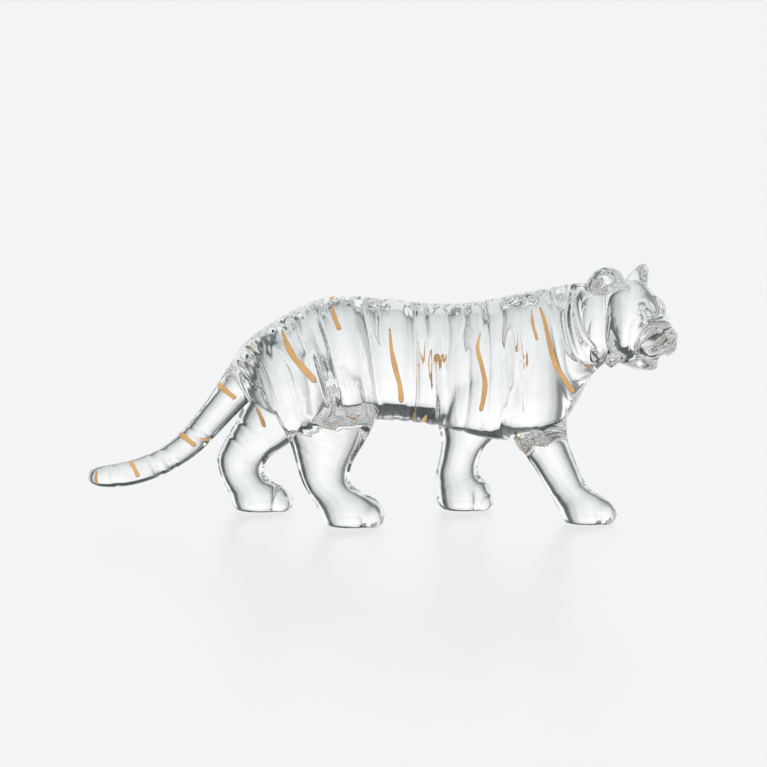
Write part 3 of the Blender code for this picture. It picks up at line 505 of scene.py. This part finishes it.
def ear_skin(side):
    """An ear: a ball flattened to a disc, hollowed in front by 1 - y^2 - z^2 and thinned towards its tip."""
    x, y, z = np.moveaxis(unit_ball(36, 48), -1, 0)
    hollow = np.where(x > 0, EAR_HOLLOW, EAR_BACK_HOLLOW)
    disc = np.stack([
        x * EAR_THICKNESS * (1 - EAR_THINNING * z) - hollow * (1 - y * y - z * z),
        y * EAR_HALF_WIDTH * (1 - EAR_NARROWING * z),
        z * EAR_HALF_HEIGHT,
    ], axis=-1)
    points, triangles = closed_skin((disc / MM @ turned(EAR_TURN).T + EAR_PLACE) * (1, side, 1))
    return head_placed(points), triangles[:, ::side]


def head_skins():
    """The skull and its rounded forms."""
    x, top, bottom, half = through(SKULL, SKULL_ROWS).T
    centre = np.stack([x, 0 * x, (top + bottom) / 2], axis=1)
    skull = rings_round(centre, (0, 1, 0), (0, 0, 1), half, (top - bottom) / 2, SKULL_SQUARENESS)
    yield closed_skin(head_placed(skull))
    for form in MIDDLE_FORMS:
        yield closed_skin(head_placed(ellipsoid(*form)))
    for side in (-1, 1):
        for (along, aside, up), radii, (roll, pitch, yaw), taper in PAIRED_FORMS:
            rings = ellipsoid((along, side * aside, up), radii, (side * roll, pitch, side * yaw), taper)
            yield closed_skin(head_placed(rings))


def face_skins():
    """The eyes and the ears."""
    for side in (-1, 1):
        eye = np.multiply(EYE_PLACE, (1, side, 1))
        yield closed_skin(head_placed(ellipsoid(eye, (EYE_RADIUS / MM,) * 3)))
        yield ear_skin(side)


def linked(name, mesh):
    """An object for the mesh, in the scene."""
    obj = bpy.data.objects.new(name, mesh)
    bpy.context.scene.collection.objects.link(obj)
    return obj


def mesh_from(name, points, faces):
    """A mesh of points and of faces that all have the same number of corners."""
    mesh = bpy.data.meshes.new(name)
    mesh.vertices.add(len(points))
    mesh.vertices.foreach_set("co", np.ravel(points))
    mesh.loops.add(faces.size)
    mesh.loops.foreach_set("vertex_index", np.ravel(faces))
    mesh.polygons.add(len(faces))
    mesh.polygons.foreach_set("loop_start", np.arange(0, faces.size, faces.shape[1]))
    mesh.update(calc_edges=True)
    return mesh


def points_of(mesh, what="co"):
    """A value of every vertex, as rows of three."""
    values = np.zeros(len(mesh.vertices) * 3)
    mesh.vertices.foreach_get(what, values)
    return values.reshape(-1, 3)


def applied(obj):
    """The object's mesh with its modifiers applied; the object itself is removed."""
    shaped = obj.evaluated_get(bpy.context.evaluated_depsgraph_get())
    mesh = bpy.data.meshes.new_from_object(shaped)
    bpy.data.objects.remove(obj)
    return mesh


def softened(mesh, rounds):
    """The mesh with each point drawn halfway to its neighbours' mean, this many times."""
    obj = linked("soft", mesh)
    soften = obj.modifiers.new("soften", "SMOOTH")
    soften.factor = 0.5
    soften.iterations = rounds
    return applied(obj)


def fused(skins, voxel, smoothing):
    """Overlapping skins made one even skin of voxel-sized faces, then smoothed."""
    points, triangles, start = [], [], 0
    for some, faces in skins:
        points.append(some)
        triangles.append(faces + start)
        start += len(some)
    obj = linked("casting", mesh_from("casting", np.concatenate(points), np.concatenate(triangles)))
    fuse = obj.modifiers.new("fuse", "REMESH")
    fuse.mode = "VOXEL"
    fuse.voxel_size = voxel
    return softened(applied(obj), smoothing)


def triangles_of(mesh):
    """The mesh's points and its triangles."""
    mesh.calc_loop_triangles()
    corners = np.zeros(len(mesh.loop_triangles) * 3, dtype=np.int32)
    mesh.loop_triangles.foreach_get("vertices", corners)
    return points_of(mesh), corners.reshape(-1, 3)


def cast_form():
    """The whole tiger as one fine skin: limbs and head each fused and softened, then toes, eyes and ears."""
    limbs = fused([tail_skin(), trunk_skin(), *map(leg_skin, LEGS)], FUSE_VOXEL, FUSE_SMOOTHING)
    head = fused(head_skins(), DETAIL_VOXEL, HEAD_SMOOTHING)
    toes = [skin for leg in LEGS for skin in toe_skins(leg)]
    parts = [triangles_of(limbs), triangles_of(head), *toes, *face_skins()]
    return fused(parts, DETAIL_VOXEL, DETAIL_SMOOTHING)


class Skin:
    """A mesh's surface, asked where a stroke drawn on the animal lies."""

    def __init__(self, mesh):
        points, triangles = triangles_of(mesh)
        self.tree = BVHTree.FromPolygons(points.tolist(), triangles.tolist())

    def under(self, start, way):
        """The first place that a ray meets from outside, or None, and the surface's normal there."""
        place, normal, _, _ = self.tree.ray_cast(Vector(start), Vector(way), PROBE_REACH * 2)
        if place is None or normal.dot(Vector(way)) > -PROBE_FACING:
            return None
        return np.array(place), np.array(normal)

    def nearest(self, start):
        """The nearest place on the surface and its normal."""
        place, normal, _, _ = self.tree.find_nearest(Vector(start))
        return np.array(place), np.array(normal)


def trunk_spot(skin, share, degrees):
    """Down the trunk's side: percent of its length, degrees from the spine, the near side positive."""
    rows = through(trunk_sections(), PROBE_ROWS)
    top, bottom, half = (np.interp(trunk_x(share), rows[:, 0], rows[:, k]) for k in (1, 2, 3))
    turn = math.radians(degrees)
    radial = np.array([0.0, -half * math.sin(turn), (top - bottom) / 2 * math.cos(turn)])
    outward = unit(radial)
    start = np.array([trunk_x(share), 0.0, (top + bottom) / 2]) + radial + outward * PROBE_REACH
    return skin.under(start, -outward)


def leg_spot(leg):
    """On a leg's outer side: height in mm, percent of the way from its back to its front."""
    side = LEGS[leg][2]
    sections = through(leg_sections(*LEGS[leg]), PROBE_ROWS)

    def spot(skin, height, across):
        back, front, y, half = (np.interp(height * MM, sections[:, 0], sections[:, k]) for k in (1, 2, 3, 4))
        start = (back + (front - back) * across / 100, y + side * (half + PROBE_REACH), height * MM)
        return skin.under(start, (0, -side, 0))

    return spot


def tail_spot(skin, share, degrees):
    """Round the tail: percent of its length from the tip, degrees from its top, the near side positive."""
    rows = through(tail_sections(), PROBE_ROWS)
    at = TAIL_LENGTH * (share / 100 - 1)
    height, radius = (np.interp(at, rows[:, 0], rows[:, k]) for k in (2, 3))
    slope = (np.interp(at + MM, rows[:, 0], rows[:, 2]) - height) / MM
    turn = math.radians(degrees)
    outward = unit(np.array([-slope, 0, 1])) * math.cos(turn) + np.array([0, -math.sin(turn), 0])
    start = np.array([at, 0, height]) + outward * (radius + PROBE_REACH)
    return skin.under(start, -outward)


def head_spot(skin, x, y, z):
    """On the head: the nearest place to a point in mm from the head's centre."""
    return skin.nearest(head_placed((x, y, z)))


def laid(skin, spot, points, count):
    """A stroke drawn smoothly through its points and laid on the skin: places and normals."""
    found = [pair for pair in (spot(skin, *row) for row in through(points, count)) if pair is not None]
    return np.array([place for place, _ in found]), np.array([normal for _, normal in found])


def carve(mesh, strokes):
    """Sink the skin under each stroke, d away from its middle.

    A stripe sinks by depth * taper * (1 + cos(pi d / w)) / 2, a flute by depth * taper * (1 - (d / w)^2).
    """
    co, normals = points_of(mesh), points_of(mesh, "normal")
    sink = np.zeros(len(co))
    for places, half_width, depth, crisp in strokes:
        near = ((co > places.min(0) - half_width) & (co < places.max(0) + half_width)).all(axis=1)
        close = np.flatnonzero(near)
        away = np.linalg.norm(co[close][:, None] - places[None], axis=2)
        at = away.argmin(axis=1)
        taper = 1 - STROKE_FADE * np.abs(np.linspace(-1, 1, len(places))) ** 3
        reach = half_width * (1 - STROKE_NARROWING * (1 - taper[at]))
        share = np.minimum(away[np.arange(len(close)), at] / reach, 1)
        profile = 1 - share**2 if crisp else (1 + np.cos(np.pi * share)) / 2
        sink[close] = np.maximum(sink[close], depth * taper[at] * profile)
    mesh.vertices.foreach_set("co", (co - normals * sink[:, None]).ravel())
    mesh.update()
    return softened(mesh, CARVED_SMOOTHING)


def clear_of_gilt(share, degrees):
    """Whether a place on the trunk keeps off every gilded stripe's line."""
    for points, half_width in TRUNK_GILT.values():
        shares, turns = through(points, 12).T
        gap = np.hypot(trunk_x(shares - share), np.radians(turns - degrees) * TRUNK_HALF_WIDTH)
        if gap.min() < half_width * MM + STRIPE_HALF_WIDTH:
            return False
    return True


def plain_trunk_stripes(side, seed):
    """Wavy stripes down one side, by turns long, high and low, leaning forward on haunch and shoulder."""
    pick = np.random.default_rng(seed)
    count = int(TRUNK_LENGTH * (STRIPES_TO - STRIPES_FROM) / 100 / STRIPE_PITCH)
    for number in range(count):
        share = STRIPES_FROM + (STRIPES_TO - STRIPES_FROM) * (number + pick.uniform(*STRIPE_JITTER)) / count
        lean = np.interp(share, *STRIPE_LEAN)
        wave = pick.uniform(-STRIPE_WAVE, STRIPE_WAVE, 2)
        head, foot = (pick.uniform(*between) for between in LONG_STRIPE)
        if number % 3 == 1:
            head, foot = (pick.uniform(*between) for between in HIGH_STRIPE)
        elif number % 3 == 2:
            head, foot = (pick.uniform(*between) for between in LOW_STRIPE)
        angles = np.linspace(head, foot, 4)
        bend = (0, wave[0], wave[1], 0)
        points = [(share + lean * (a - STRIPE_PIVOT) / 100 + b, side * a) for a, b in zip(angles, bend)]
        if all(clear_of_gilt(*point) for point in points):
            yield points


def eye_rim(side):
    """An almond on the head round the eye, its inner corner lower: (a cos t, b sin t - c cos t)."""
    facing = unit(np.array(EYE_FACING))
    along = unit(np.cross(facing, (0, 0, 1)))
    turn = np.linspace(0, 2 * np.pi, 13)[:, None]
    far = EYE_ALMOND[0] * np.cos(turn)
    high = EYE_ALMOND[1] * np.sin(turn) - EYE_SLANT * np.cos(turn)
    rim = facing / 2 + along * far + np.cross(along, facing) * high
    return (np.array(EYE_PLACE) + rim * EYE_RADIUS / MM) * (1, side, 1)


def plain_strokes(skin):
    """Every carved stroke: its places, half width and depth, and whether its edges are crisp."""
    strokes = []

    def draw(cut, spot, points):
        width, depth, count = CUTS[cut]
        places, _ = laid(skin, spot, points, count)
        if len(places) > 3:
            strokes.append((places, STRIPE_HALF_WIDTH * width, STRIPE_DEPTH * depth, False))

    for side, seed in SIDE_SEEDS:
        for points in plain_trunk_stripes(side, seed):
            draw("stripe", trunk_spot, points)
        for further in FLUTE_SEEDS:
            for points in plain_trunk_stripes(side, seed + further):
                places, _ = laid(skin, trunk_spot, points, CUTS["stripe"][2])
                strokes.append((places, FLUTE_HALF_WIDTH, FLUTE_DEPTH, True))
        fold = "near_fold" if side > 0 else "far_fold"
        for points in NECK_FOLDS:
            draw(fold, trunk_spot, [(share, side * turn) for share, turn in points])
        for points in HEAD_LINES:
            draw("head_line", head_spot, np.multiply(points, (1, side, 1)))
        draw("eye_rim", head_spot, eye_rim(side))
    for share in np.arange(*SPINE_NOTCHES):
        if clear_of_gilt(share, 0):
            ahead, aside = share + SPINE_NOTCH_BEND, SPINE_NOTCH_REACH
            draw("spine_notch", trunk_spot, [(share, -aside), (ahead, 0), (share, aside)])
    for share in np.arange(*BELLY_NOTCHES):
        ahead, aside = share + BELLY_NOTCH_BEND, BELLY_NOTCH_REACH
        draw("belly_notch", trunk_spot, [(share, 180 - aside), (ahead, 180), (share, 180 + aside)])
    for leg, stripes in LEG_STRIPES.items():
        for points in stripes:
            draw("leg_stripe", leg_spot(leg), points)
        for points in TOE_LINES:
            draw("toe_line", leg_spot(leg), points)
    for share in TAIL_RINGS:
        ring = [(share + TAIL_RING_LEAN * math.sin(math.radians(turn)), turn) for turn in range(0, 361, 45)]
        draw("tail_ring", tail_spot, ring)
    draw("mouth", head_spot, MOUTH_LINE)
    draw("lip", head_spot, LIP_LINE)
    return strokes


def set_on_frame(mesh):
    """How far the casting moves to lie on the frame's own body; the soles are ground flat at its lowest."""
    co = points_of(mesh)
    co[:, 2] = np.maximum(co[:, 2], SOLE_GRIND)
    low, high = (np.array(corner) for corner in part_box("tiger_body"))
    shift = ((low + high) - (co.min(0) + co.max(0))) / 2
    shift[2] = low[2] - SOLE_GRIND
    mesh.vertices.foreach_set("co", np.clip(co + shift, low, high).ravel())
    mesh.update()
    return shift


def gilt_strokes():
    """Each gilded stripe: its name, the member that it is drawn on, its points and its half width."""
    for name, (points, half_width) in TRUNK_GILT.items():
        yield name, trunk_spot, points, half_width
    for name, (points, half_width) in TAIL_GILT.items():
        yield name, tail_spot, points, half_width
    for name, (leg, points, half_width) in LEG_GILT.items():
        yield name, leg_spot(leg), points, half_width


def draped(points, faces, glass):
    """Points laid on the nearest surface of the glass."""
    obj = linked("drape", mesh_from("drape", points, faces))
    press = obj.modifiers.new("press", "SHRINKWRAP")
    press.target = glass
    press.wrap_method = "NEAREST_SURFACEPOINT"
    return points_of(applied(obj))


def gold_skin(places, normals, half_width, shift, glass):
    """A stroke of gold laid on the glass: pointed at its start, round at its end, crowned by 1 - u^2."""
    rows, columns = len(places), GILT_COLUMNS
    u = np.linspace(-1, 1, columns)[None, :, None]
    along = unit(np.gradient(places, axis=0))
    normals = unit(normals - along * (normals * along).sum(axis=1, keepdims=True))
    across = np.cross(normals, along)
    share = np.linspace(-1, 1, rows)
    point = GILT_POINT + (1 - GILT_POINT) * np.sin(np.minimum((1 + share) / GILT_POINT_LENGTH, 1) * np.pi / 2)
    end = np.clip((share - GILT_ROUND_FROM) / (1 - GILT_ROUND_FROM), 0, 1)
    waver = 1 + GILT_WAVER * np.sin(GILT_WAVES * share + GILT_WAVE_START * places[0, 0])
    width = half_width * point * np.sqrt(1 - GILT_ROUNDING * end**2) * waver
    grid = places[:, None] + shift + across[:, None] * (width[:, None, None] * u)
    i, j = np.meshgrid(np.arange(rows - 1), np.arange(columns - 1), indexing="ij")
    a = (i * columns + j).ravel()
    sheet = np.stack([a, a + columns, a + columns + 1, a + 1], axis=1)
    laid_down = draped(grid.reshape(-1, 3), sheet, glass).reshape(rows, columns, 3)
    facing = unit(np.cross(np.gradient(laid_down, axis=0), np.gradient(laid_down, axis=1)))
    facing *= np.sign((facing * normals[:, None]).sum(axis=-1, keepdims=True))
    ends = (1 - np.abs(share) ** 6)[:, None, None]
    top = laid_down + facing * (GILT_CROWN * (1 - u**2) * ends - GILT_LIP)
    root = laid_down - facing * GILT_ROOT
    count = rows * columns
    rim = np.concatenate([
        np.arange(columns), np.arange(2 * columns - 1, count, columns),
        np.arange(count - 2, count - columns - 1, -1), np.arange(count - 2 * columns, 0, -columns),
    ])
    following = np.roll(rim, -1)
    wall = np.stack([rim, rim + count, following + count, following], axis=1)
    faces = np.concatenate([sheet, sheet[:, ::-1] + count, wall[:, ::-1]])
    return np.concatenate([top.reshape(-1, 3), root.reshape(-1, 3)]), faces


def add(tree, kind, values=(), **settings):
    """A node of this kind with its settings; each socket gets a value, or the socket that feeds it."""
    made = tree.nodes.new(kind)
    for name, value in settings.items():
        setattr(made, name, value)
    for socket, value in dict(values).items():
        if isinstance(value, bpy.types.NodeSocket):
            tree.links.new(value, made.inputs[socket])
        else:
            made.inputs[socket].default_value = value
    return made


def span(tree, value, low, high, to_low=0.0, to_high=1.0, smooth=True):
    """A value carried from one range to another, held at its ends."""
    kind = "SMOOTHSTEP" if smooth else "LINEAR"
    values = {"Value": value, "From Min": low, "From Max": high, "To Min": to_low, "To Max": to_high}
    return add(tree, "ShaderNodeMapRange", values, interpolation_type=kind).outputs["Result"]


def computed(tree, operation, first, second, **settings):
    """A sum, product or other function of two values."""
    return add(tree, "ShaderNodeMath", {0: first, 1: second}, operation=operation, **settings).outputs[0]


def noise(tree, place, size, detail, roughness=0.5):
    """Noise over a place."""
    values = {"Vector": place, "Scale": size, "Detail": detail, "Roughness": roughness}
    return add(tree, "ShaderNodeTexNoise", values).outputs["Fac"]


def blended(tree, amount, first, second):
    """A colour between two."""
    mixed = add(tree, "ShaderNodeMix", data_type="RGBA")
    for socket, value in (("Factor_Float", amount), ("A_Color", first), ("B_Color", second)):
        at = next(s for s in mixed.inputs if s.identifier == socket)
        if isinstance(value, bpy.types.NodeSocket):
            tree.links.new(value, at)
        else:
            at.default_value = (*value, 1)
    return next(s for s in mixed.outputs if s.identifier == "Result_Color")


def ramp_of(tree, value, stops):
    """A colour by a value from 0 to 1, eased between the stops."""
    made = add(tree, "ShaderNodeValToRGB", {"Fac": value})
    ramp = made.color_ramp
    ramp.interpolation = "EASE"
    for at, _ in stops[1:-1]:
        ramp.elements.new(at)
    for element, (at, colour) in zip(ramp.elements, stops):
        element.position = at
        element.color = (*colour, 1)
    return made.outputs["Color"]


def hand_finish():
    """What a hand-worked surface shows: a slow swell, a fine tooth, and where it was rubbed smoother."""
    group = bpy.data.node_groups.new("hand_finish", "ShaderNodeTree")
    for name in ("Swell Size", "Tooth Size", "Tooth Share"):
        group.interface.new_socket(name, in_out="INPUT", socket_type="NodeSocketFloat")
    for name in ("Height", "Rubbed", "Cloud"):
        group.interface.new_socket(name, in_out="OUTPUT", socket_type="NodeSocketFloat")
    given = add(group, "NodeGroupInput").outputs
    place = add(group, "ShaderNodeTexCoord").outputs["Object"]
    swell = noise(group, place, given["Swell Size"], 2.0)
    tooth = noise(group, place, given["Tooth Size"], 4.0)
    cloud = noise(group, place, CLOUD_SIZE, 3.0, 0.6)
    fine = computed(group, "MULTIPLY", tooth, given["Tooth Share"])
    out = add(group, "NodeGroupOutput")
    group.links.new(computed(group, "ADD", swell, fine), out.inputs["Height"])
    group.links.new(span(group, tooth, 0.35, 0.65), out.inputs["Rubbed"])
    group.links.new(span(group, cloud, 0.3, 0.7), out.inputs["Cloud"])
    return group


def finished(name, worked, sizes, tints, roughness, bump):
    """A material whose colour, roughness and bump follow its hand finish, and its shader's inputs."""
    made = bpy.data.materials.new(name)
    made.use_nodes = True
    tree = made.node_tree
    hand = add(tree, "ShaderNodeGroup", node_tree=worked)
    for socket, value in zip(("Swell Size", "Tooth Size", "Tooth Share"), sizes):
        hand.inputs[socket].default_value = value
    shader = tree.nodes["Principled BSDF"].inputs
    tree.links.new(blended(tree, hand.outputs["Cloud"], *tints), shader["Base Color"])
    tree.links.new(span(tree, hand.outputs["Rubbed"], 0.0, 1.0, *roughness), shader["Roughness"])
    strength, depth = bump
    relief = add(tree, "ShaderNodeBump", {
        "Height": hand.outputs["Height"], "Strength": strength, "Distance": depth,
    })
    tree.links.new(relief.outputs["Normal"], shader["Normal"])
    return made, shader


def cast_glass(worked):
    """Clear glass, faintly teal where it is thick, fire-polished with a slow swell left by the mould."""
    made, shader = finished("cast_glass", worked, GLASS_WORKED, GLASS_TINTS, GLASS_ROUGHNESS, GLASS_BUMP)
    shader["Transmission Weight"].default_value = 1.0
    shader["IOR"].default_value = GLASS_IOR
    return made


def satin_gold(worked):
    """Fired gold, satin and tan, brushed on by hand: darker where thin, brighter where burnished."""
    made, shader = finished("satin_gold", worked, GOLD_WORKED, GOLD_TINTS, GOLD_ROUGHNESS, GOLD_BUMP)
    shader["Metallic"].default_value = 1.0
    return made


def paper_floor():
    """Pale satin board, wide enough to fill the view, a hair below the soles."""
    points = FLOOR_HALF * np.array([(-1, -1, 0), (1, -1, 0), (1, 1, 0), (-1, 1, 0)], float)
    points[:, 2] = -FLOOR_BELOW_SOLES
    floor = linked("floor", mesh_from("floor", points, np.array([[0, 1, 2, 3]])))
    made = bpy.data.materials.new("paper_floor")
    made.use_nodes = True
    shader = made.node_tree.nodes["Principled BSDF"].inputs
    shader["Base Color"].default_value = (*PAPER, 1)
    shader["Roughness"].default_value = FLOOR_ROUGHNESS
    shader["Specular IOR Level"].default_value = FLOOR_SHEEN
    floor.data.materials.append(made)
    floor.visible_transmission = False


def studio_world():
    """Even pale light.

    Through the glass a tent graded by height is seen instead, with a dark band and dark cards round it.
    """
    world = bpy.data.worlds.new("studio")
    bpy.context.scene.world = world
    world.use_nodes = True
    tree = world.node_tree
    tree.nodes.clear()
    place = add(tree, "ShaderNodeTexCoord").outputs["Generated"]
    way = add(tree, "ShaderNodeSeparateXYZ", {0: place}).outputs
    tent = ramp_of(tree, span(tree, way["Z"], -1.0, 1.0, smooth=False), [
        ((at + 1) / 2, [min(shade, 1) ** power * max(shade, 1) for power in COOL]) for at, shade in TENT
    ])
    heading = computed(tree, "ARCTAN2", way["Y"], way["X"])
    cards = ramp_of(tree, span(tree, heading, -math.pi, math.pi, smooth=False), [
        ((degrees + 180) / 360, [dark] * 3) for degrees, dark in CARDS
    ])
    card = computed(tree, "MULTIPLY", cards, span(tree, way["Z"], *CARD_FADE))
    path = add(tree, "ShaderNodeLightPath").outputs
    plain = computed(tree, "MAXIMUM", path["Is Camera Ray"], path["Is Glossy Ray"])
    # A refracted ray counts as glossy too, so what it sees is laid over the rest
    refracted = computed(tree, "SUBTRACT", path["Is Transmission Ray"], path["Diffuse Depth"], use_clamp=True)
    seen_through = blended(tree, card, tent, CARD_SHADE)
    colour = blended(tree, refracted, blended(tree, plain, WHITE, PAPER), seen_through)
    light = add(tree, "ShaderNodeBackground", {"Color": colour, "Strength": 1.0})
    tree.links.new(light.outputs[0], add(tree, "ShaderNodeOutputWorld").inputs["Surface"])


def camera():
    """The photograph's view: level from the right side, a little above."""
    rise = math.radians(CAMERA_RISE)
    data = bpy.data.cameras.new("camera")
    data.sensor_width = SENSOR
    data.lens = SENSOR * CAMERA_DISTANCE / VIEW_WIDTH
    data.clip_end = 4 * FLOOR_HALF
    eye = linked("camera", data)
    eye.location = np.add(TARGET, (0, -CAMERA_DISTANCE * math.cos(rise), CAMERA_DISTANCE * math.sin(rise)))
    eye.rotation_euler = (math.pi / 2 - rise, 0, 0)
    bpy.context.scene.camera = eye


def tiger():
    """The glass casting and its gold."""
    worked = hand_finish()
    form = cast_form()
    skin = Skin(form)
    form = carve(form, plain_strokes(skin))
    shift = set_on_frame(form)
    form.shade_smooth()
    form.materials.append(cast_glass(worked))
    glass = linked("glass_tiger", form)
    # Lit from all round, clear glass reflects in the board but leaves no shade on it
    glass.visible_diffuse = False
    glass.visible_shadow = False
    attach(glass, "root")
    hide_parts("tiger_body")
    gold = satin_gold(worked)
    for node, spot, points, half_width in gilt_strokes():
        places, normals = laid(skin, spot, points, GILT_ROWS)
        mesh = mesh_from(node, *gold_skin(places, normals, half_width * MM, shift, glass))
        mesh.shade_smooth()
        mesh.materials.append(gold)
        piece = linked(node.replace("_gilt", "_gold"), mesh)
        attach(piece, "root")
        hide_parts(node)


bpy.context.scene.view_settings.view_transform = "Standard"
bpy.context.scene.cycles.glossy_bounces = LIGHT_BOUNCES
bpy.context.scene.cycles.transmission_bounces = LIGHT_BOUNCES
bpy.context.scene.cycles.max_bounces = LIGHT_BOUNCES
camera()
studio_world()
paper_floor()
tiger()
